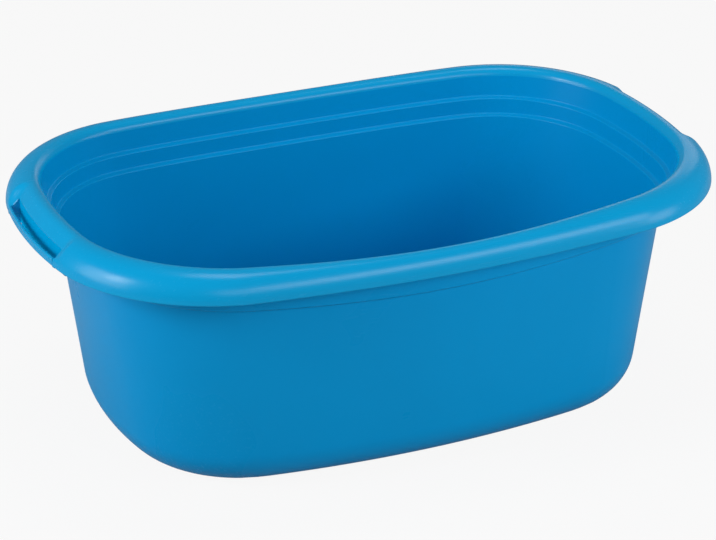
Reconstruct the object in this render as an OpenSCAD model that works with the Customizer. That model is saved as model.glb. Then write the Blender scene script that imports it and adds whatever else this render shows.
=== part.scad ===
// Washing up bowl: an oval tub moulded in one piece of plastic, with a rolled rim and two grips.
// The one moulding is drawn as its named regions, which meet face to face.
// Millimetres. Z is up, X runs along the bowl, and the front is towards -Y.
// The origin is on the floor that the bowl stands on, under its centre.

/* [Opening] */
// Length of the opening, from end wall to end wall
opening_length = 410; // [396:2:430]
// Width of the opening, from front wall to back wall
opening_width = 262; // [252:2:274]
// Radius of the opening's corners
opening_corner_radius = 92; // [84:1:98]
// Radius of the opening's long sides
opening_side_radius = 680; // [620:10:760]
// Radius of the opening's short ends
opening_end_radius = 326; // [300:2:360]

/* [Walls] */
// Height from the underside of the floor to the top of the rim at the grips
body_height = 166; // [140:1:200]
// Thickness of the plastic
wall = 2.1; // [1.8:0.1:2.6]
// How far an end wall leans inwards from the rim to the floor
end_lean = 25.4; // [18:0.2:32]
// How far a long wall leans inwards from the rim to the floor
side_lean = 14.4; // [10:0.2:18]
// Radius of the base outline's corners
base_corner_radius = 81; // [72:1:86]
// Radius of the base outline's long sides
base_side_radius = 716; // [660:4:780]
// Radius of the base outline's short ends
base_end_radius = 226; // [210:2:260]
// Radius from the floor up into the walls, on the outside
floor_radius = 28.5; // [20:0.5:34]

/* [Ledges] */
// Width of each of the two ledges round the inside
ledge_width = 3.2; // [2:0.1:4]
// Depth of the upper ledge below the rim's top
upper_ledge_depth = 20; // [18:0.5:23]
// Depth of the lower ledge below the rim's top
lower_ledge_depth = 31.5; // [28:0.5:40]

/* [Rim] */
// Radius of the rounded edge from the wall on to the rim
edge_radius = 6.2; // [5:0.1:7]
// Width of the rim at the middle of a long side
rim_width_side = 15.4; // [14:0.2:18]
// Width of the rim at the middle of a short end
rim_width_end = 23; // [22:0.5:26]
// Radius of the lip outline's corners
lip_corner_radius = 109; // [102:1:114]
// Radius of the lip outline's long sides
lip_side_radius = 1235; // [1100:5:1400]
// Radius of the lip outline's short ends
lip_end_radius = 320; // [300:2:350]
// How far the lip hangs below the rim's top at a long side
lip_drop_side = 14.5; // [12:0.5:16]
// How far the lip hangs below the rim's top at a short end
lip_drop_end = 18; // [17:0.5:18.5]
// How far the rim dips in the middle of a long side
rim_dip = 5.4; // [0:0.2:7]
// Distance from the centre to the seam between a long rim and a corner rim
seam_distance = 118; // [100:1:126]

/* [Grips] */
// Length of a grip, measured along the opening
grip_length = 80; // [76:1:88]
// Distance from the wall to the outer face of the grip's shoulder
shoulder_width = 15.6; // [14.5:0.1:16.2]
// Depth from the rim's top to the shoulder's outer corner
shoulder_drop = 7.6; // [6.5:0.1:9]
// Depth from the rim's top to the lower edge of the shoulder's skirt
skirt_drop = 21; // [15:0.5:22]
// Depth from the rim's top to the top of the grip bar
bar_drop = 12.4; // [11:0.1:14]
// Thickness of the grip bar
bar_thickness = 1.9; // [1.6:0.1:2.2]
// Thickness of the plate that closes the rim at each end of a grip
end_plate = 2.4; // [2:0.1:3]
// Length over which the rim rises from a grip to its full height
rise_length = 7.5; // [5:0.5:12]

/* [Foot] */
// Height of the ring that the bowl stands on
foot_height = 1.2; // [0.8:0.1:2]
// Width of the foot ring
foot_width = 4; // [3:0.5:6]
// Distance from the start of the floor radius in to the foot ring
foot_inset = 6; // [4:0.5:10]
// Diameter of the mark that the moulding's gate leaves under the floor
gate_diameter = 9; // [6:0.5:12]
// Height of the gate mark
gate_height = 0.6; // [0.3:0.1:0.7]

/* [Hidden] */

blue = [0.0, 0.55, 0.78];
deep_blue = [0.02, 0.47, 0.72];

// Steps along a half end, the rise beside a grip, a corner and a half side,
// and along the curves of a section
end_steps = 3;
rise_steps = 3;
corner_steps = 13;
side_steps = 5;
floor_steps = 6;
edge_steps = 3;
roll_steps = 7;
shoulder_steps = 3;

// Height over which the rim's dip fades out down the wall, as shares of the body's height
dip_fade_low = 0.35;
dip_fade_high = 0.8;
// Half length of the dip, as a share of the opening's half length
dip_reach = 0.95;
// Half height of the S-shaped step that makes a ledge
ledge_rise = 1.2;

function unit(a) = [cos(a), sin(a)];

// An outline of three arcs a quarter, tangent where they meet: a long side, a corner and an end.
// Each arc is [centre, radius], and the last two values are the normal angles at the joins.
function outline(half_length, half_width, corner, side, end) =
    let(
        side_centre = [0, half_width - side],
        end_centre = [half_length - end, 0],
        across = end_centre - side_centre,
        reach_side = side - corner,
        reach_end = end - corner,
        gap = norm(across),
        along = (reach_side ^ 2 - reach_end ^ 2 + gap ^ 2) / (2 * gap),
        off = sqrt(max(reach_side ^ 2 - along ^ 2, 0)),
        way = across / gap,
        corner_centre = side_centre + way * along + [way.y, -way.x] * off,
        from_side = corner_centre - side_centre,
        from_end = corner_centre - end_centre
    )
    [
        [side_centre, side], [corner_centre, corner], [end_centre, end],
        atan2(from_side.y, from_side.x), atan2(from_end.y, from_end.x)
    ];

opening = outline(opening_length / 2, opening_width / 2, opening_corner_radius,
    opening_side_radius, opening_end_radius);
base = outline(opening_length / 2 - end_lean, opening_width / 2 - side_lean, base_corner_radius,
    base_side_radius, base_end_radius);
lip = outline(opening_length / 2 + rim_width_end, opening_width / 2 + rim_width_side,
    lip_corner_radius, lip_side_radius, lip_end_radius);

function on_arc(arc, a) = arc[0] + arc[1] * unit(a);

// The point of an outline's first quarter whose normal is at the angle a
function outline_point(shape, a) =
    a > shape[3] ? on_arc(shape[0], a) : a > shape[4] ? on_arc(shape[1], a) : on_arc(shape[2], a);

// How far a ray from p along the unit vector n runs to an arc's circle
function ray_to_arc(p, n, arc) =
    let(q = p - arc[0], b = q * n)
    sqrt(b ^ 2 - q * q + arc[1] ^ 2) - b;

function hit_angle(p, n, arc) =
    let(hit = p + n * ray_to_arc(p, n, arc) - arc[0])
    atan2(hit.y, hit.x);

// How far a ray from p along n runs to an outline, in its first quarter
function ray_to_outline(p, n, shape) =
    hit_angle(p, n, shape[0]) >= shape[3] ? ray_to_arc(p, n, shape[0])
    : hit_angle(p, n, shape[2]) <= shape[4] ? ray_to_arc(p, n, shape[2])
    : ray_to_arc(p, n, shape[1]);

// The normal angle of the opening's point that is this far from the bowl's long middle line
function angle_at(y) =
    y < opening_end_radius * sin(opening[4]) ? asin(y / opening_end_radius)
    : asin((y - opening[1][0].y) / opening_corner_radius);

// Normal angles at which the regions meet
grip_angle = angle_at(grip_length / 2);
plate_angle = angle_at(grip_length / 2 + end_plate);
rise_angle = angle_at(grip_length / 2 + rise_length);
seam_angle = seam_distance < opening_side_radius * cos(opening[3])
    ? acos(seam_distance / opening_side_radius)
    : acos((seam_distance - opening[1][0].x) / opening_corner_radius);

function smooth_step(t) = let(c = min(max(t, 0), 1)) c * c * (3 - 2 * c);

// A station is a vertical plane across the wall: [point on the opening, normal,
// distance out to the base line, distance out to the lip, dip of the rim here,
// how far the rim still is below its full height, as a share]
function station(a) =
    let(
        first = atan2(abs(sin(a)), abs(cos(a))),
        turn = [cos(a) < 0 ? -1 : 1, sin(a) < 0 ? -1 : 1],
        p = outline_point(opening, first),
        n = unit(first),
        x = p.x / (dip_reach * opening_length / 2),
        dip = x < 1 ? rim_dip * (1 - x ^ 2) ^ 2 : 0
    )
    [
        [p.x * turn.x, p.y * turn.y], [n.x * turn.x, n.y * turn.y],
        ray_to_outline(p, n, base), ray_to_outline(p, n, lip), dip,
        1 - smooth_step((first - grip_angle) / (rise_angle - grip_angle))
    ];

function spread(low, high, steps) = [for (i = [0:steps]) low + (high - low) * i / steps];

// Angles of the stations of the right half end, the corner's rim and the back half side
grip_angles = spread(-grip_angle, grip_angle, 2 * end_steps);
rise_angles = spread(plate_angle, rise_angle, rise_steps);
corner_rim_angles = concat(
    [for (i = [0:rise_steps - 1]) rise_angles[i]],
    spread(rise_angle, seam_angle, corner_steps)
);
corner_wall_angles = concat([grip_angle], corner_rim_angles);
side_angles = spread(seam_angle, 180 - seam_angle, 2 * side_steps);

function turned(angles, by) = [for (a = angles) a + by];
// The same angles seen in a mirror, kept in rising order
function flipped(angles, about) = [for (i = [len(angles) - 1:-1:0]) 2 * about - angles[i]];

// The rim's dip is whole at the rim and fades out down the wall
function dipped(p, dip) =
    let(share = p.y / body_height, reach = dip_fade_high - dip_fade_low)
    [p.x, p.y - dip * smooth_step((share - dip_fade_low) / reach)];

// Distance out to the wall's outer line at a height, below the ledges
line_top = wall - 2 * ledge_width;
function wall_line(s, z) = s[2] + (line_top - s[2]) * z / body_height;
function wall_tilt(s) = atan((line_top - s[2]) / body_height);

// Where the floor ends and the floor radius begins
function floor_edge(s) = wall_line(s, floor_radius) - floor_radius / cos(wall_tilt(s));

// One ledge of a section: the wall steps out by the ledge's width round the height z
function ledge(s, z, from) = [
    [wall_line(s, z) + from, z - ledge_rise],
    [wall_line(s, z) + from + ledge_width * 0.2, z - ledge_rise * 0.2],
    [wall_line(s, z) + from + ledge_width * 0.8, z + ledge_rise * 0.2],
    [wall_line(s, z) + from + ledge_width, z + ledge_rise]
];

// One face of the wall, from the floor up: depth is 0 outside and the wall's thickness inside
function wall_face(s, depth) =
    let(
        centre = [floor_edge(s), floor_radius],
        bend = floor_radius - depth,
        lower = body_height - lower_ledge_depth - wall + depth,
        upper = body_height - upper_ledge_depth - wall + depth
    )
    concat(
        [for (a = spread(-90, -wall_tilt(s), floor_steps)) centre + bend * unit(a)],
        ledge(s, lower, -depth),
        ledge(s, upper, ledge_width - depth),
        [[wall - depth, body_height - edge_radius]]
    );

function reversed(list) = [for (i = [len(list) - 1:-1:0]) list[i]];

wall_section = function(s)
    [for (p = concat(wall_face(s, 0), reversed(wall_face(s, wall)))) dipped(p, s[4])];

// How far the lip hangs at a station, in step with the rim's width there
function lip_drop(s) =
    lip_drop_side + (lip_drop_end - lip_drop_side) * (s[3] - rim_width_side)
        / (rim_width_end - rim_width_side);

// The rim's rounded inner edge, as points and outward normals
function edge_curve() = [
    for (a = spread(180, 90, edge_steps))
        [[edge_radius, -edge_radius] + edge_radius * unit(a), unit(a)]
];

// The shoulder's slope starts where a line from its corner touches the rounded edge
edge_centre = [edge_radius, -edge_radius];
shoulder_corner = [shoulder_width, -shoulder_drop];
away = shoulder_corner - edge_centre;
lean = atan2(away.y, away.x) + acos(edge_radius / norm(away));
slope_start = edge_centre + edge_radius * unit(lean);

// Height of the lowered rim beside a grip: down the slope, level with the bar, then the lip
function lowered(s, w) =
    lookup(w, [
        [edge_radius, 0], [(edge_radius + slope_start.x) / 2, slope_start.y / 4],
        [slope_start.x, slope_start.y], [shoulder_width, -shoulder_drop],
        [s[3] - bar_thickness, -bar_drop], [s[3] - bar_thickness / 3, -bar_drop - bar_thickness / 3],
        [s[3], -lip_drop(s)]
    ]);

// A point of the roll from the rim's top out and down to the lip, at the angle a of its curve
function roll_point(s, a) =
    let(
        w = edge_radius + (s[3] - edge_radius) * sin(a),
        full = lip_drop(s) * (cos(a) - 1)
    )
    [w, full + (lowered(s, w) - full) * s[5]];

// The roll, as points and outward normals
function roll_curve(s) = [
    for (i = [1:roll_steps])
        let(
            a = 90 * i / roll_steps,
            run = roll_point(s, min(a + 4, 90)) - roll_point(s, a - 4)
        )
        [roll_point(s, a), i == roll_steps ? [1, 0] : [-run.y, run.x] / norm(run)]
];

// The shoulder of a grip: a rounded top, a slope and a skirt that hangs straight down
function shoulder_curve() =
    let(
        centre = edge_centre,
        corner = shoulder_corner,
        fall = [sin(lean), -cos(lean)]
    )
    concat(
        [
            for (i = [1:shoulder_steps])
                let(n = unit(90 + (lean - 90) * i / shoulder_steps))
                [centre + edge_radius * n, n]
        ],
        [
            [corner - fall * wall / 2, unit(lean)],
            [corner - [0, wall / 2], [1, 0]],
            [[shoulder_width, -skirt_drop], [1, 0]]
        ]
    );

// A curve given a thickness on its underside and set at the rim's height at a station
function skin(s, curve) =
    [
        for (p = concat([for (c = curve) c[0] - wall * c[1]], reversed([for (c = curve) c[0]])))
            [p.x, body_height - s[4] + p.y]
    ];

rim_section = function(s) skin(s, concat(edge_curve(), roll_curve(s)));
shoulder_section = function(s) skin(s, concat(edge_curve(), shoulder_curve()));

// The bar is what is left of the lip outside the slot
bar_section = function(s)
    let(
        top = body_height - s[4] - bar_drop,
        low = body_height - s[4] - lip_drop(s),
        round = bar_thickness / 3,
        inner = s[3] - bar_thickness
    )
    [
        [s[3], low + round], [s[3], top - round], [s[3] - round, top],
        [inner + round, top], [inner, top - round],
        [inner, low + round], [inner + round, low], [s[3] - round, low]
    ];

// The plate that closes the rim at the end of a grip reaches in to the wall's outer face.
// Its first point is the corner that sees all the others.
end_section = function(s)
    let(
        face = wall_face(s, 0),
        high = face[len(face) - 1],
        below = face[len(face) - 2],
        low = -lip_drop(s),
        share = (high.y - body_height - low) / (high.y - below.y),
        top = concat(edge_curve(), roll_curve(s))
    )
    [
        for (p = concat(
            [[high.x, -edge_radius], [high.x + (below.x - high.x) * share, low]],
            reversed([for (c = top) c[0]])
        ))
            [p.x, body_height - s[4] + p.y]
    ];

// The two triangles of a four-cornered patch, cut along its shorter diagonal
function patch(points, a, b, c, d) =
    norm(points[a] - points[c]) < norm(points[b] - points[d]) ? [[a, b, c], [a, c, d]]
    : [[a, b, d], [b, c, d]];

// Triangles that close a section: a strip between its two faces, or a fan from its first point
function cap(count, fan) =
    fan ? [for (j = [1:count - 2]) [0, j, j + 1]]
    : [
        for (j = [0:count / 2 - 2])
            each [[j, j + 1, count - 2 - j], [j, count - 2 - j, count - 1 - j]]
    ];

// A solid whose sections stand at the stations of the given angles
module loft(angles, section, fan = false) {
    rings = [
        for (a = angles)
            let(s = station(a))
            [for (p = section(s)) [s[0].x + s[1].x * p.x, s[0].y + s[1].y * p.x, foot_height + p.y]]
    ];
    count = len(rings[0]);
    last = len(rings) - 1;
    points = [for (ring = rings) for (p = ring) p];
    sides = [
        for (i = [0:last - 1])
            for (j = [0:count - 1])
                let(k = (j + 1) % count, here = i * count, next = here + count)
                each patch(points, here + j, here + k, next + k, next + j)
    ];
    first_cap = [for (f = cap(count, fan)) reversed(f)];
    last_cap = [for (f = cap(count, fan)) [for (j = f) last * count + j]];
    polyhedron(points, concat(sides, first_cap, last_cap), convexity = 10);
}

// The outline of the flat floor, set in by a distance
module floor_outline(inset) {
    up_to_corner = [for (i = [end_steps + 1:2 * end_steps - 1]) grip_angles[i]];
    up_to_middle = [for (i = [1:side_steps - 1]) side_angles[i]];
    quarter = concat(up_to_corner, corner_wall_angles, up_to_middle);
    half = concat([0], quarter, [90], flipped(quarter, 90));
    polygon([
        for (a = concat(half, turned(half, 180)))
            let(s = station(a))
            s[0] + s[1] * (floor_edge(s) - inset)
    ]);
}

module floor_panel() {
    color(blue)
        translate([0, 0, foot_height])
            linear_extrude(wall)
                floor_outline(0);
}

module foot_ring() {
    color(deep_blue)
        linear_extrude(foot_height)
            difference() {
                floor_outline(foot_inset);
                floor_outline(foot_inset + foot_width);
            }
}

module gate_mark() {
    color(deep_blue)
        translate([0, 0, foot_height - gate_height])
            cylinder(d = gate_diameter, h = gate_height, $fn = 48);
}

module walls(angles) {
    color(blue)
        loft(angles, wall_section);
}

module rims(angles) {
    color(blue)
        loft(angles, rim_section);
}

module grip_shoulder(by) {
    color(blue)
        loft(turned(grip_angles, by), shoulder_section);
}

module grip_bar(by) {
    color(deep_blue)
        loft(turned(grip_angles, by), bar_section);
}

module grip_end(angles) {
    color(deep_blue)
        loft(angles, end_section, fan = true);
}

plate_angles = [grip_angle, plate_angle];

floor_panel();
foot_ring();
gate_mark();
walls(turned(side_angles, 180));  // front_wall
walls(side_angles);  // back_wall
walls(turned(grip_angles, 180));  // left_wall
walls(grip_angles);  // right_wall
walls(turned(corner_wall_angles, 180));  // front_left_corner
walls(flipped(corner_wall_angles, 0));  // front_right_corner
walls(flipped(corner_wall_angles, 90));  // back_left_corner
walls(corner_wall_angles);  // back_right_corner
rims(turned(side_angles, 180));  // front_rim
rims(side_angles);  // back_rim
rims(turned(corner_rim_angles, 180));  // front_left_rim
rims(flipped(corner_rim_angles, 0));  // front_right_rim
rims(flipped(corner_rim_angles, 90));  // back_left_rim
rims(corner_rim_angles);  // back_right_rim
grip_shoulder(180);  // left_grip_shoulder
grip_shoulder(0);  // right_grip_shoulder
grip_bar(180);  // left_grip_bar
grip_bar(0);  // right_grip_bar
grip_end(turned(plate_angles, 180));  // left_grip_front_end
grip_end(flipped(plate_angles, 90));  // left_grip_back_end
grip_end(flipped(plate_angles, 0));  // right_grip_front_end
grip_end(plate_angles);  // right_grip_back_end
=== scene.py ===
import math

import bpy
import numpy as np
from mathutils import Matrix, Vector


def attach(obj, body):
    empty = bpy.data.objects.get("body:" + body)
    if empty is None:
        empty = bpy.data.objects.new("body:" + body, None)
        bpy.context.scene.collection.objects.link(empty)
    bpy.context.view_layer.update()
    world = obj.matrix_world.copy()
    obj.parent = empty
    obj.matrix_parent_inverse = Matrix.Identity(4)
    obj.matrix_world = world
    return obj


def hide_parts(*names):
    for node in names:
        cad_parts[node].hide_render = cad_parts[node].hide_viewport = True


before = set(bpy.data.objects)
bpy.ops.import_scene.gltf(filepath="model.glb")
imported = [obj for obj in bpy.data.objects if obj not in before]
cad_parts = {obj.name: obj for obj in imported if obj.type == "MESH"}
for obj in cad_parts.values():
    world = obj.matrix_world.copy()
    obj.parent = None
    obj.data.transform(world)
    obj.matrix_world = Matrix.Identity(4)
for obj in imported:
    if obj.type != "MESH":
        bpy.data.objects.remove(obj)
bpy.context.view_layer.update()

MM = 0.001
PI = math.pi
HALF = PI / 2

# ---- Sizes of the bowl in millimetres, as in the CAD model ----
# half length, half width, then the radii of the corners, the long sides and the short ends
OPENING = (205.0, 131.0, 92.0, 680.0, 326.0)
END_LEAN, SIDE_LEAN = 25.4, 14.4
# the same three radii for the foot of the wall, and for the lip of the rim
BASE_RADII = (81.0, 716.0, 226.0)
RIM_SIDE, RIM_END = 15.4, 23.0
LIP_RADII = (109.0, 1235.0, 320.0)
HEIGHT, WALL, FOOT = 166.0, 2.1, 1.2
FLOOR_RADIUS, EDGE = 28.5, 6.2
LEDGE_WIDTH, UPPER_LEDGE, LOWER_LEDGE, LEDGE_RISE = 3.2, 20.0, 31.5, 1.2
DROP_SIDE, DROP_END = 14.5, 18.0
DIP, DIP_REACH, DIP_FADE_LOW, DIP_FADE_SPAN = 5.4, 0.95, 0.35, 0.45
SEAM_X = 118.0
GRIP_LENGTH, SHOULDER_W, SHOULDER_DROP, SKIRT_DROP = 80.0, 15.6, 7.6, 21.0
BAR_DROP, BAR_T, PLATE, RISE = 12.4, 1.9, 2.4, 7.5
FOOT_WIDTH, FOOT_INSET = 4.0, 6.0
GATE_D, GATE_H = 9.0, 0.6

# ---- Sizes in millimetres that only this script has ----
SKIRT_EXTRA = 4.0       # how much further down the grips' skirts reach than in the CAD model
RECESS_BELOW = 0.5      # the grips' matt recess starts this far below the shoulder's corner
FLOOR_OVERLAP = 6       # how much of the flat floor a wall's section takes in
LEDGE_SLANT_IN, LEDGE_SLANT_OUT = 0.45, 0.7
LIP_ROUND, PLATE_ROUND = 0.8, 0.9
INSIDE_ROUNDS = [FLOOR_RADIUS - WALL, 1.0, 1.2, 1.0, 1.2]
OUTSIDE_ROUNDS = [1.5, 1.5, 1.5, 1.5, FLOOR_RADIUS]
LOWERED_ROUNDS = [3.0, 1.5, 0.8]
SHOULDER_ROUNDS = [1.5, 0.8, 0.8, 0.8]
BAR_ROUNDS = [0.8, 0.9, 0.9, 0.8]
GATE_ROUNDS = [0.25, 0.15, 0.1, 0.1, 0.1]
FOOT_ROUND, FOOT_SIDE = 0.35, 0.6


def unit(a):
    return np.array([math.cos(a), math.sin(a)])


# ---- The three outlines seen from above ----
def outline(half_length, half_width, corner, side, end):
    """Three tangent arcs a quarter: ((centre, radius) x 3, join angle side/corner, corner/end)."""
    s = np.array([0.0, half_width - side])
    e = np.array([half_length - end, 0.0])
    across = e - s
    gap = np.linalg.norm(across)
    r1, r2 = side - corner, end - corner
    along = (r1 * r1 - r2 * r2 + gap * gap) / (2 * gap)
    off = math.sqrt(max(r1 * r1 - along * along, 0.0))
    way = across / gap
    c = s + way * along + np.array([way[1], -way[0]]) * off
    a1 = math.atan2(*(c - s)[::-1])
    a2 = math.atan2(*(c - e)[::-1])
    return ((s, side), (c, corner), (e, end), a1, a2)


OPEN = outline(*OPENING)
BASE = outline(OPENING[0] - END_LEAN, OPENING[1] - SIDE_LEAN, *BASE_RADII)
LIP = outline(OPENING[0] + RIM_END, OPENING[1] + RIM_SIDE, *LIP_RADII)


def ray(p, n, arc):
    """The distance from p along n to the circle of an arc."""
    q = p - arc[0]
    b = q @ n
    return math.sqrt(b * b - q @ q + arc[1] ** 2) - b


def reach(p, n, shape):
    """The distance from p along n to an outline."""
    def angle(arc):
        hit = p + n * ray(p, n, arc) - arc[0]
        return math.atan2(hit[1], hit[0])
    if angle(shape[0]) >= shape[3]:
        return ray(p, n, shape[0])
    if angle(shape[2]) <= shape[4]:
        return ray(p, n, shape[2])
    return ray(p, n, shape[1])


def angle_at(y):
    """The normal angle of the opening's point that is y from the bowl's long middle line."""
    centre, r = OPEN[1]
    join = OPENING[4] * math.sin(OPEN[4])
    return math.asin(y / OPENING[4]) if y < join else math.asin((y - centre[1]) / r)


GRIP_A = angle_at(GRIP_LENGTH / 2)
PLATE_A = angle_at(GRIP_LENGTH / 2 + PLATE)
RISE_A = angle_at(GRIP_LENGTH / 2 + RISE)
SEAM_A = math.acos(SEAM_X / OPENING[3])


def ease(t):
    t = min(max(t, 0.0), 1.0)
    return t * t * (3 - 2 * t)


class Station:
    """A vertical plane across the wall, at the angle of the opening's normal.

    base and lip are how far out from the opening the wall's foot and the rim's lip are. dip is how
    much the rim sinks here, low is 1 beside a grip and 0 on the full rim, and drop is how far the
    lip is below the rim's crown.
    """

    def __init__(self, a):
        turn = np.array([-1.0 if math.cos(a) < 0 else 1.0, -1.0 if math.sin(a) < 0 else 1.0])
        first = math.atan2(abs(math.sin(a)), abs(math.cos(a)))
        arc = OPEN[0] if first > OPEN[3] else OPEN[1] if first > OPEN[4] else OPEN[2]
        n = unit(first)
        p = arc[0] + arc[1] * n
        x = p[0] / (DIP_REACH * OPENING[0])
        self.angle = a
        self.p = p * turn
        self.n = n * turn
        self.base = reach(p, n, BASE)
        self.lip = reach(p, n, LIP)
        self.dip = DIP * (1 - x * x) ** 2 if x < 1 else 0.0
        self.low = 1 - ease((first - GRIP_A) / (RISE_A - GRIP_A))
        end_drop = DROP_END - DROP_SIDE
        self.drop = DROP_SIDE + end_drop * (self.lip - RIM_SIDE) / (RIM_END - RIM_SIDE)

    def wall_line(self, z):
        """How far out the wall's outer face is at height z, before the ledges widen it."""
        top = WALL - 2 * LEDGE_WIDTH
        return self.base + (top - self.base) * z / HEIGHT

    @property
    def tilt(self):
        return math.atan((WALL - 2 * LEDGE_WIDTH - self.base) / HEIGHT)

    @property
    def floor_edge(self):
        return self.wall_line(FLOOR_RADIUS) - FLOOR_RADIUS / math.cos(self.tilt)

    def place(self, profile):
        """Section points (distance out, height above the floor's underside) to metres."""
        w, z = profile[:, 0], profile[:, 1]
        t = np.clip((z / HEIGHT - DIP_FADE_LOW) / DIP_FADE_SPAN, 0, 1)
        z = z - self.dip * t * t * (3 - 2 * t) + FOOT
        return np.column_stack([self.p[0] + self.n[0] * w, self.p[1] + self.n[1] * w, z]) * MM


# ---- Curves ----
def rounded(points, radii, steps=7):
    """A polyline whose inner corners are replaced by arcs of the given radii."""
    straight, large = 1.56, 6
    out = [np.array(points[0], float)]
    for k in range(1, len(points) - 1):
        a, b, c = (np.array(points[k + d], float) for d in (-1, 0, 1))
        r = radii[k - 1]
        u, v = (a - b) / np.linalg.norm(a - b), (c - b) / np.linalg.norm(c - b)
        half = math.acos(max(-1, min(1, u @ v))) / 2
        if half > straight:
            out.append(b)
            continue
        cut = r / math.tan(half)
        centre = b + (u + v) / np.linalg.norm(u + v) * r / math.sin(half)
        s, e = b + u * cut - centre, b + v * cut - centre
        a0 = math.atan2(s[1], s[0])
        turn = (math.atan2(e[1], e[0]) - a0 + PI) % (2 * PI) - PI
        n = steps if r < large else 3 * steps
        out += [centre + r * unit(a0 + turn * i / n) for i in range(n + 1)]
    out.append(np.array(points[-1], float))
    return np.array(out)


def resample(points, count):
    """The same curve as count points at even distances."""
    d = np.r_[0, np.cumsum(np.linalg.norm(np.diff(points, axis=0), axis=1))]
    t = np.linspace(0, d[-1], count)
    return np.column_stack([np.interp(t, d, points[:, k]) for k in range(2)])


def offset(points, distance):
    """A curve moved square to itself, towards its inside."""
    run = np.gradient(points, axis=0)
    run /= np.linalg.norm(run, axis=1, keepdims=True)
    return points + distance * np.column_stack([run[:, 1], -run[:, 0]])


# ---- Sections: (distance out, height) points, from the inside over the top to the outside ----
EDGE_CENTRE = np.array([EDGE, HEIGHT - EDGE])
CORNER = np.array([SHOULDER_W, HEIGHT - SHOULDER_DROP])
AWAY = CORNER - EDGE_CENTRE
LEAN = math.atan2(*AWAY[::-1]) + math.acos(EDGE / np.linalg.norm(AWAY))
SLOPE_START = EDGE_CENTRE + EDGE * unit(LEAN)


def edge_arc(start, steps=9, r=EDGE, stop=HALF):
    """The rim's rounded inner edge, or the hollow inside it, between two angles."""
    angles = [start + (stop - start) * i / steps for i in range(steps + 1)]
    return np.array([EDGE_CENTRE + r * unit(a) for a in angles])


def wall_inside(s):
    """The inner face from the flat floor to the rim's rounded edge, and its angle on that edge."""
    def inner(z, out):
        return s.wall_line(z) - WALL / math.cos(s.tilt) + out, z
    low, high = HEIGHT - LOWER_LEDGE, HEIGHT - UPPER_LEDGE
    last = inner(high + LEDGE_SLANT_IN, 2 * LEDGE_WIDTH)
    d = np.array(last) - EDGE_CENTRE
    touch = (math.atan2(d[1], d[0]) - math.acos(EDGE / np.linalg.norm(d))) % (2 * PI)
    points = [
        (s.floor_edge - FLOOR_OVERLAP, WALL), inner(WALL, 0),
        inner(low - LEDGE_SLANT_IN, 0), inner(low + LEDGE_SLANT_IN, LEDGE_WIDTH),
        inner(high - LEDGE_SLANT_IN, LEDGE_WIDTH), last, EDGE_CENTRE + EDGE * unit(touch),
    ]
    return rounded(points, INSIDE_ROUNDS), touch


def wall_outside(s):
    """The outer face from under the rim down to the flat underside."""
    def outer(z, out):
        return s.wall_line(z) + out, z
    low, high = HEIGHT - LOWER_LEDGE - WALL, HEIGHT - UPPER_LEDGE - WALL
    points = [
        (WALL, HEIGHT - EDGE), outer(high + LEDGE_SLANT_OUT, 2 * LEDGE_WIDTH),
        outer(high - LEDGE_SLANT_OUT, LEDGE_WIDTH), outer(low + LEDGE_SLANT_OUT, LEDGE_WIDTH),
        outer(low - LEDGE_SLANT_OUT, 0), outer(0, 0), (s.floor_edge - FLOOR_OVERLAP, 0),
    ]
    return rounded(points, OUTSIDE_ROUNDS)


def lowered(s):
    """The rim beside a grip at its lowest: down the slope, level with the bar, then the lip."""
    bend_in, bend_down = 0.3, 0.5
    arc = edge_arc(HALF, 8, EDGE, LEAN)
    tail = [SLOPE_START, CORNER, (s.lip - BAR_T, HEIGHT - BAR_DROP),
            (s.lip - bend_in, HEIGHT - BAR_DROP - bend_down), (s.lip, HEIGHT - s.drop)]
    return np.vstack([arc[:-1], rounded(tail, LOWERED_ROUNDS)])


def roll(s, steps, inset=0.0):
    """The outer face of the rolled rim, from its crown to the lip. inset lowers the stretch
    between the shoulder and the bar, where a slot opens beside it."""
    blend = 1.5
    a = np.linspace(0, HALF, steps + 1)[1:]
    out, down = s.lip - EDGE, s.drop
    w = EDGE + out * np.sin(a)
    z = HEIGHT + down * (np.cos(a) - 1)
    if s.low > 0:
        low = lowered(s)
        z = z + (np.interp(w, low[:, 0], low[:, 1]) - z) * s.low
        z[-1] = HEIGHT - down
    if inset > 0:
        past_shoulder = np.clip((w - SHOULDER_W) / blend, 0, 1)
        before_bar = np.clip(s.lip - BAR_T - w, 0, 1)
        z -= inset * past_shoulder * before_bar
    return np.column_stack([w, z])


def rim_top(s, start):
    """The rim's skin: over the top, round the lip and back underneath to the wall."""
    lip_z = HEIGHT - s.drop
    upper = roll(s, 60)
    under = offset(np.vstack([EDGE_CENTRE + [0, EDGE], upper]), WALL)
    upper = np.vstack([edge_arc(start)[-1:], upper[upper[:, 1] > lip_z + LIP_ROUND]])
    under = under[under[:, 1] > lip_z + LIP_ROUND][::-1]
    lip = [upper[-1], (s.lip, lip_z), (s.lip - WALL, lip_z), under[0]]
    return np.vstack([
        edge_arc(start)[:-1], resample(upper, 28)[:-1], rounded(lip, [LIP_ROUND, LIP_ROUND]),
        resample(under, 14)[1:], edge_arc(HALF, 6, EDGE - WALL, PI)[1:],
    ])


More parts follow.
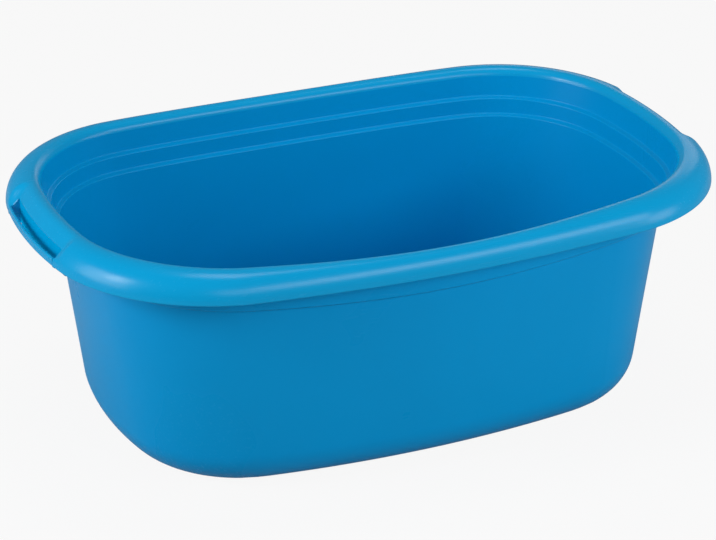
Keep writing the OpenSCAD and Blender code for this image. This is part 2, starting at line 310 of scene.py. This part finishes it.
def shoulder_top(s, start):
    """The grip's skin: rounded edge, slope, skirt and back underneath to the wall."""
    foot_z = HEIGHT - SKIRT_DROP - SKIRT_EXTRA
    thinned = 0.6
    corner_z = CORNER[1] - WALL * math.tan((HALF - LEAN) / 2) * thinned
    points = [
        SLOPE_START, CORNER, (SHOULDER_W, foot_z), (SHOULDER_W - WALL, foot_z),
        (SHOULDER_W - WALL, corner_z), EDGE_CENTRE + (EDGE - WALL) * unit(LEAN),
    ]
    return np.vstack([
        edge_arc(start), edge_arc(HALF, 6, EDGE, LEAN)[1:-1],
        rounded(points, SHOULDER_ROUNDS), edge_arc(LEAN, 6, EDGE - WALL, PI)[1:],
    ])


# ---- Angles of the regions: at the right end, in the back right quarter and along the back ----
END_ANGLES = np.linspace(-GRIP_A, GRIP_A, 25)
PLATE_ANGLES = np.linspace(GRIP_A, PLATE_A, 9)
RIM_CORNER = np.r_[np.linspace(PLATE_A, RISE_A, 13)[:-1], np.linspace(RISE_A, SEAM_A, 53)]
WALL_CORNER = np.r_[PLATE_ANGLES[:-1], RIM_CORNER]
SIDE_ANGLES = np.linspace(SEAM_A, PI - SEAM_A, 41)


def turned(angles, by):
    return np.array(angles) + by


def flipped(angles, about):
    return (2 * about - np.array(angles))[::-1]


def full_ring():
    """Angles all round the bowl, for the floor and the foot ring."""
    quarter = np.r_[np.linspace(0, GRIP_A, 11)[1:-1], WALL_CORNER, SIDE_ANGLES[1:20]]
    half = np.r_[0.0, quarter, HALF, flipped(quarter, HALF)]
    return np.r_[half, half + PI]


# ---- Meshes ----
TINY = 1e-12
UP, DOWN = np.array([0, 0, 1.0]), np.array([0, 0, -1.0])


def grid_normals(grid):
    """Outward normals of a grid of stations by profile points, from central differences."""
    du, dv = np.empty_like(grid), np.empty_like(grid)
    du[1:-1], du[0], du[-1] = grid[2:] - grid[:-2], grid[1] - grid[0], grid[-1] - grid[-2]
    dv[:, 1:-1] = grid[:, 2:] - grid[:, :-2]
    dv[:, 0], dv[:, -1] = grid[:, 1] - grid[:, 0], grid[:, -1] - grid[:, -2]
    n = np.cross(dv, du)
    return n / np.maximum(np.linalg.norm(n, axis=2, keepdims=True), TINY)


def quad_normal(p):
    n = np.cross(p[2] - p[0], p[3] - p[1])
    return n / max(np.linalg.norm(n), TINY)


def face_normal(points):
    """The normal of a face with any number of corners."""
    n = np.zeros(3)
    for p, q in zip(points, np.roll(points, -1, axis=0)):
        n += np.cross(p, q)
    return n / max(np.linalg.norm(n), TINY)


def add_object(name, verts, faces, normals=None):
    mesh = bpy.data.meshes.new(name)
    mesh.from_pydata([tuple(v) for v in verts], [], faces)
    mesh.shade_smooth()
    if normals is not None:
        mesh.normals_split_custom_set([tuple(n) for n in normals])
    obj = bpy.data.objects.new(name, mesh)
    bpy.context.scene.collection.objects.link(obj)
    return obj


def loft(name, angles, profile, keep=None):
    """A closed solid swept along stations. profile(station) gives the section as a list of open
    strips, joined in a ring by flat facets. keep says which points of each strip are drawn. The
    others, and one more station beyond each end, only steady the normals, so that neighbouring
    regions of the moulding join with no visible edge."""
    step0, step1 = angles[1] - angles[0], angles[-1] - angles[-2]
    stations = [Station(a) for a in np.r_[angles[0] - step0, angles, angles[-1] + step1]]
    sections = [profile(s) for s in stations]
    verts, strip_normals, starts, counts = [], [], [], []
    base = 0
    for k in range(len(sections[0])):
        grid = np.array([s.place(section[k]) for s, section in zip(stations, sections)])
        first, last = keep[k] if keep else (0, None)
        n = grid_normals(grid)[1:-1, first:last]
        grid = grid[1:-1, first:last]
        starts.append(base)
        counts.append(grid.shape[1])
        verts.append(grid.reshape(-1, 3))
        strip_normals.append(n.reshape(-1, 3))
        base += grid.shape[0] * grid.shape[1]
    verts, strip_normals = np.vstack(verts), np.vstack(strip_normals)

    def ring(i):
        return [start + i * n + j for start, n in zip(starts, counts) for j in range(n)]

    faces, normals = [], []
    strip_ends = np.cumsum(counts)
    total = sum(counts)
    for i in range(len(angles) - 1):
        a, b = ring(i), ring(i + 1)
        for j in range(total):
            k = (j + 1) % total
            face = (a[j], a[k], b[k], b[j])
            faces.append(face)
            if j + 1 in strip_ends:
                normals += [quad_normal(verts[list(face)])] * 4
            else:
                normals += [strip_normals[v] for v in face]
    for cap in (ring(0)[::-1], ring(len(angles) - 1)):
        faces.append(tuple(cap))
        normals += [face_normal(verts[cap])] * len(cap)
    return add_object(name, verts, faces, normals)


def wall_piece(name, angles):
    """The wall from the floor's edge up. Its section's two ends, in the floor, aren't drawn."""
    last = len(wall_outside(Station(0.0))) - 1
    return loft(name, angles, lambda s: [wall_inside(s)[0], wall_outside(s)],
                keep=[(1, None), (0, last)])


def rim_piece(name, angles):
    return loft(name, angles, lambda s: [rim_top(s, wall_inside(s)[1])])


def shoulder_piece(name, angles):
    return loft(name, angles, lambda s: [shoulder_top(s, wall_inside(s)[1])])


def bar_piece(name, angles):
    def profile(s):
        top, low = HEIGHT - BAR_DROP, HEIGHT - s.drop
        w0, w1 = s.lip - BAR_T, s.lip
        seam = (w0, (top + low) / 2)
        points = [seam, (w0, top), (w1, top), (w1, low), (w0, low), seam]
        return [rounded(points, BAR_ROUNDS)[:-1]]
    return loft(name, angles, profile)


def plate_piece(name, angles):
    """The plate that closes the rim beside a grip, with a soft edge towards the slot."""
    def profile(s):
        across = abs(((s.angle + HALF) % PI) - HALF) - GRIP_A
        t = max(0.0, 1 - across / (PLATE_A - GRIP_A) * PLATE / PLATE_ROUND)
        inset = PLATE_ROUND * (1 - math.sqrt(max(0.0, 1 - t * t)))
        high = np.array([WALL, HEIGHT - EDGE])
        below_z = HEIGHT - UPPER_LEDGE - WALL + LEDGE_RISE
        below = np.array([s.wall_line(below_z - LEDGE_RISE) + 2 * LEDGE_WIDTH, below_z])
        share = (high[1] - HEIGHT + s.drop) / (high[1] - below[1])
        foot_z = HEIGHT - SKIRT_DROP - SKIRT_EXTRA
        skirt = [(s.lip - BAR_T, HEIGHT - s.drop),
                 (SHOULDER_W, foot_z), (SHOULDER_W - WALL, foot_z)]
        return [np.vstack([edge_arc(wall_inside(s)[1]), roll(s, 40, inset)]),
                np.array(skirt), np.vstack([high + (below - high) * share, high])]
    return loft(name, angles, profile)


def floor_piece(name):
    """The floor: rings of quads on top, then a fan to the middle, and one fan underneath."""
    stations = [Station(a) for a in full_ring()]
    top = np.array([s.place(np.array([wall_inside(s)[0][1]]))[0] for s in stations])
    under = np.array([s.place(np.array([[s.floor_edge, 0.0]]))[0] for s in stations])
    n = len(stations)
    rings = [top * [f, f, 1] for f in (1.0, 0.75, 0.5, 0.25)]
    verts = np.vstack(rings + [[[0, 0, top[0, 2]]], under, [[0, 0, under[0, 2]]]])
    inmost = (len(rings) - 1) * n
    top_middle = inmost + n
    low = top_middle + 1
    low_middle = low + n
    faces, normals = [], []
    for r in range(0, inmost, n):
        for i in range(n):
            k = (i + 1) % n
            faces.append((r + i, r + k, r + n + k, r + n + i))
            normals += [UP] * 4
    for i in range(n):
        k = (i + 1) % n
        faces.append((inmost + i, inmost + k, top_middle))
        normals += [UP] * 3
        faces.append((low + k, low + i, low_middle))
        normals += [DOWN] * 3
        side = (i, low + i, low + k, k)
        faces.append(side)
        normals += [quad_normal(verts[list(side)])] * 4
    return add_object(name, verts, faces, normals)


def foot_piece(name):
    """The low ring that the bowl stands on, with its two lower edges rounded."""
    section = rounded([(0, FOOT_SIDE), (0, 0), (-FOOT_WIDTH, 0), (-FOOT_WIDTH, FOOT_SIDE)],
                      [FOOT_ROUND, FOOT_ROUND], 4)
    section = np.vstack([[0, FOOT], section, [-FOOT_WIDTH, FOOT]])
    grid = []
    for s in [Station(a) for a in full_ring()]:
        w, z = s.floor_edge - FOOT_INSET + section[:, 0], section[:, 1]
        grid.append(np.column_stack([s.p[0] + s.n[0] * w, s.p[1] + s.n[1] * w, z]) * MM)
    grid = np.array(grid)
    n, m = grid.shape[:2]
    ring_normals = grid_normals(np.concatenate([grid[-1:], grid, grid[:1]]))[1:-1].reshape(-1, 3)
    faces, normals = [], []
    for i in range(n):
        a, b = i * m, (i + 1) % n * m
        for j in range(m - 1):
            face = (a + j, a + j + 1, b + j + 1, b + j)
            faces.append(face)
            normals += [ring_normals[v] for v in face]
        faces.append((a + m - 1, a, b, b + m - 1))
        normals += [UP] * 4
    return add_object(name, grid.reshape(-1, 3), faces, normals)


def gate_piece(name):
    """The mark left by the moulding's gate: a low disc with a soft edge and a trimmed stub."""
    rim, groove_out, groove_in, stub, middle = GATE_D / 2, 2.6, 1.9, 1.3, 0.02
    stub_low, depth = 1.1, 0.3
    z = FOOT - GATE_H
    section = rounded([(rim, FOOT), (rim, z), (groove_out, z), (groove_in, z + depth),
                       (stub, z + depth), (stub_low, z), (middle, z)], GATE_ROUNDS, 4)
    n, m = 64, len(section)
    verts, faces = [], []
    for i in range(n):
        c, s = unit(2 * PI * i / n)
        verts += [(p[0] * c * MM, p[0] * s * MM, p[1] * MM) for p in section]
    for i in range(n):
        a, b = i * m, (i + 1) % n * m
        faces += [(a + j, a + j + 1, b + j + 1, b + j) for j in range(m - 1)]
    faces.append(tuple(i * m for i in range(n)))
    faces.append(tuple(i * m + m - 1 for i in range(n - 1, -1, -1)))
    return add_object(name, verts, faces)


# ---- Materials ----
def empty_tree(owner):
    owner.use_nodes = True
    nodes, links = owner.node_tree.nodes, owner.node_tree.links
    nodes.clear()
    return nodes, links


def add_node(nodes, kind, **sockets):
    """A shader node with constants on its sockets. Underscores stand for spaces."""
    node = nodes.new("ShaderNode" + kind)
    for socket, value in sockets.items():
        node.inputs[socket.replace("_", " ")].default_value = value
    return node


def plastic(name, colour, gloss, rough, mottled=0.5, scratch=0.5):
    """Moulded polypropylene: satin gloss, a faint flow mottle, fine grain, rubbed scratches."""
    mat = bpy.data.materials.new(name)
    nodes, links = empty_tree(mat)
    out = add_node(nodes, "OutputMaterial")
    bsdf = add_node(nodes, "BsdfPrincipled", IOR=1.49, Specular_IOR_Level=gloss)
    coord = add_node(nodes, "TexCoord")

    flow = add_node(nodes, "TexNoise", Scale=9.0, Detail=3.0, Distortion=0.6)
    grain = add_node(nodes, "TexNoise", Scale=900.0, Detail=2.0)
    stretch = add_node(nodes, "Mapping", Scale=(40.0, 900.0, 500.0), Rotation=(0.3, 0.2, 0.5))
    scratches = add_node(nodes, "TexNoise", Scale=1.0, Detail=2.0)
    for node in (flow, grain, stretch):
        links.new(coord.outputs["Object"], node.inputs["Vector"])
    links.new(stretch.outputs["Vector"], scratches.inputs["Vector"])

    darker, lighter = 1 - 0.10 * mottled, 1 + 0.08 * mottled
    tint = nodes.new("ShaderNodeMix")
    tint.data_type = "RGBA"
    tint.inputs["A"].default_value = (*[c * darker for c in colour], 1)
    tint.inputs["B"].default_value = (*[min(1.0, c * lighter) for c in colour], 1)
    links.new(flow.outputs["Fac"], tint.inputs["Factor"])
    links.new(tint.outputs["Result"], bsdf.inputs["Base Color"])

    rubbed = add_node(nodes, "MapRange", From_Min=0.62, From_Max=0.78,
                      To_Min=rough, To_Max=rough + 0.12 * scratch)
    links.new(scratches.outputs["Fac"], rubbed.inputs["Value"])
    varied = add_node(nodes, "MapRange", To_Min=-0.03, To_Max=0.03)
    links.new(flow.outputs["Fac"], varied.inputs["Value"])
    both = nodes.new("ShaderNodeMath")
    both.operation = "ADD"
    links.new(rubbed.outputs["Result"], both.inputs[0])
    links.new(varied.outputs["Result"], both.inputs[1])
    links.new(both.outputs["Value"], bsdf.inputs["Roughness"])

    fine = add_node(nodes, "Bump", Strength=0.05, Distance=0.0002)
    links.new(grain.outputs["Fac"], fine.inputs["Height"])
    wave = add_node(nodes, "Bump", Strength=0.05, Distance=0.002)
    links.new(flow.outputs["Fac"], wave.inputs["Height"])
    links.new(fine.outputs["Normal"], wave.inputs["Normal"])
    links.new(wave.outputs["Normal"], bsdf.inputs["Normal"])
    links.new(bsdf.outputs["BSDF"], out.inputs["Surface"])
    return mat


# The rim's blue is lighter than the walls' blue below, although the bowl is one moulding: painted
# light on the rim, which faces up to the lamps. The grips' recess shares this lighter blue.
RIM_PAINTED_LIGHT_BLUE = (0.0, 0.32, 0.63)
RIM = plastic("rim_blue", RIM_PAINTED_LIGHT_BLUE, 0.22, 0.25)
RECESS = plastic("recess_blue", RIM_PAINTED_LIGHT_BLUE, 0.0, 0.5)
WALLS = plastic("wall_blue", (0.0, 0.285, 0.62), 0.10, 0.28)
# The foot ring and gate mark get a darker copy of the walls' blue: painted shade on the underside.
# Their stronger mottle and rubbed scratches stand for wear.
UNDER = plastic("foot_blue", (0.0, 0.26, 0.58), 0.10, 0.42, 0.8, 1.0)


# ---- Pieces ----
def finish_piece(obj, node, material):
    obj.data.materials.append(material)
    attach(obj, "root")
    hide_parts(node)


for node, angles in {
    "front_wall": turned(SIDE_ANGLES, PI), "back_wall": SIDE_ANGLES,
    "left_wall": turned(END_ANGLES, PI), "right_wall": END_ANGLES,
    "front_left_corner": turned(WALL_CORNER, PI), "front_right_corner": flipped(WALL_CORNER, 0),
    "back_left_corner": flipped(WALL_CORNER, HALF), "back_right_corner": WALL_CORNER,
}.items():
    finish_piece(wall_piece(node + "_skin", angles), node, WALLS)

for node, angles in {
    "front_rim": turned(SIDE_ANGLES, PI), "back_rim": SIDE_ANGLES,
    "front_left_rim": turned(RIM_CORNER, PI), "front_right_rim": flipped(RIM_CORNER, 0),
    "back_left_rim": flipped(RIM_CORNER, HALF), "back_right_rim": RIM_CORNER,
}.items():
    finish_piece(rim_piece(node + "_skin", angles), node, RIM)

RECESS_TOP = HEIGHT + FOOT - SHOULDER_DROP - RECESS_BELOW
for side, angles in (("left", turned(END_ANGLES, PI)), ("right", turned(END_ANGLES, 0.0))):
    shoulder = shoulder_piece(side + "_shoulder_skin", angles)
    finish_piece(shoulder, side + "_grip_shoulder", RIM)
    shoulder.data.materials.append(RECESS)
    for face in shoulder.data.polygons:
        if face.center.z < RECESS_TOP * MM:
            face.material_index = 1
    finish_piece(bar_piece(side + "_bar_skin", angles), side + "_grip_bar", RIM)

for node, angles in {
    "left_grip_front_end": turned(PLATE_ANGLES, PI),
    "left_grip_back_end": flipped(PLATE_ANGLES, HALF),
    "right_grip_front_end": flipped(PLATE_ANGLES, 0),
    "right_grip_back_end": PLATE_ANGLES,
}.items():
    finish_piece(plate_piece(node + "_skin", angles), node, RIM)

finish_piece(floor_piece("floor_skin"), "floor_panel", WALLS)
finish_piece(foot_piece("foot_ring_skin"), "foot_ring", UNDER)
finish_piece(gate_piece("gate_mark_skin"), "gate_mark", UNDER)

# ---- Camera: fitted to the photograph ----
AZ, EL, ROLL = math.radians(-24.366), math.radians(25.119), math.radians(0.370)
DISTANCE = 1.7856
TARGET = Vector((-0.00215, 0.00088, 0.08538 + FOOT * MM))
back = Vector((math.sin(AZ) * math.cos(EL), -math.cos(AZ) * math.cos(EL), math.sin(EL)))
level_right = Vector((math.cos(AZ), math.sin(AZ), 0.0))
level_up = back.cross(level_right)
right = level_right * math.cos(ROLL) + level_up * math.sin(ROLL)
up = level_up * math.cos(ROLL) - level_right * math.sin(ROLL)
cam = bpy.data.cameras.new("camera")
cam.sensor_fit = "HORIZONTAL"
cam.sensor_width = 36.0
cam.lens = 136.3
cam.clip_end = 20.0
cam_obj = bpy.data.objects.new("camera", cam)
bpy.context.scene.collection.objects.link(cam_obj)
turn = Matrix((right, up, back)).transposed().to_4x4()
cam_obj.matrix_world = Matrix.Translation(TARGET + back * DISTANCE) @ turn
bpy.context.scene.camera = cam_obj

# ---- Stage: the camera sees it nearly white, while the bowl reflects a duller one ----
WHITE = (1, 1, 1, 1)
FLOOR_GREY, FLOOR_GLOW, FLOOR_HALF = (0.45, 0.45, 0.45, 1), 0.91, 4
SKY_SEEN, SKY_LIGHT, SKY_COLOUR = 0.96, 0.2, (0.95, 0.98, 1.0, 1)


def stage_material():
    mat = bpy.data.materials.new("studio_white")
    nodes, links = empty_tree(mat)
    out = add_node(nodes, "OutputMaterial")
    matte = add_node(nodes, "BsdfDiffuse", Color=FLOOR_GREY)
    glow = add_node(nodes, "Emission", Color=WHITE, Strength=1.0)
    path = add_node(nodes, "LightPath")
    part = nodes.new("ShaderNodeMath")
    part.operation = "MULTIPLY"
    part.inputs[1].default_value = FLOOR_GLOW
    mix = add_node(nodes, "MixShader")
    links.new(path.outputs["Is Camera Ray"], part.inputs[0])
    links.new(part.outputs["Value"], mix.inputs["Fac"])
    links.new(matte.outputs["BSDF"], mix.inputs[1])
    links.new(glow.outputs["Emission"], mix.inputs[2])
    links.new(mix.outputs["Shader"], out.inputs["Surface"])
    return mat


def studio_world():
    world = bpy.data.worlds.new("studio")
    nodes, links = empty_tree(world)
    out = add_node(nodes, "OutputWorld")
    seen = add_node(nodes, "Background", Color=WHITE, Strength=SKY_SEEN)
    light = add_node(nodes, "Background", Color=SKY_COLOUR, Strength=SKY_LIGHT)
    path = add_node(nodes, "LightPath")
    mix = add_node(nodes, "MixShader")
    links.new(path.outputs["Is Camera Ray"], mix.inputs["Fac"])
    links.new(light.outputs["Background"], mix.inputs[1])
    links.new(seen.outputs["Background"], mix.inputs[2])
    links.new(mix.outputs["Shader"], out.inputs["Surface"])
    return world


square = [(x * FLOOR_HALF, y * FLOOR_HALF, 0) for x, y in ((-1, -1), (1, -1), (1, 1), (-1, 1))]
floor = add_object("studio_floor", square, [(0, 1, 2, 3)])
floor.data.materials.append(stage_material())
bpy.context.scene.world = studio_world()

# ---- Lamps: name, place, the height aimed at over the middle, size, watts ----
for name, at, aim, size, power in (
    ("left", (-1.7, 0.1, 0.7), 0.08, (1.0, 1.0), 16),
    ("glint", (-1.68, -0.1, 1.0), 0.08, (0.3, 0.5), 7),
    ("front_right", (0.75, -1.5, 0.95), 0.08, (1.3, 0.5), 13),
    ("low_right", (1.5, -1.1, 0.35), 0.08, (0.8, 0.6), 7),
    ("top", (0.1, 0.1, 1.8), 0.08, (0.6, 0.6), 6),
    ("back", (1.2, 1.3, 0.75), 0.1, (1.0, 0.6), 2),
    ("front", (-0.3, -1.9, 1.0), 0.08, (0.8, 0.6), 4),
):
    light = bpy.data.lights.new(name, "AREA")
    light.shape = "RECTANGLE"
    light.size, light.size_y = size
    light.energy = power
    lamp = bpy.data.objects.new(name, light)
    lamp.location = at
    lamp.rotation_euler = (Vector((0, 0, aim)) - Vector(at)).to_track_quat("-Z", "Y").to_euler()
    bpy.context.scene.collection.objects.link(lamp)

bpy.context.scene.view_settings.view_transform = "Standard"
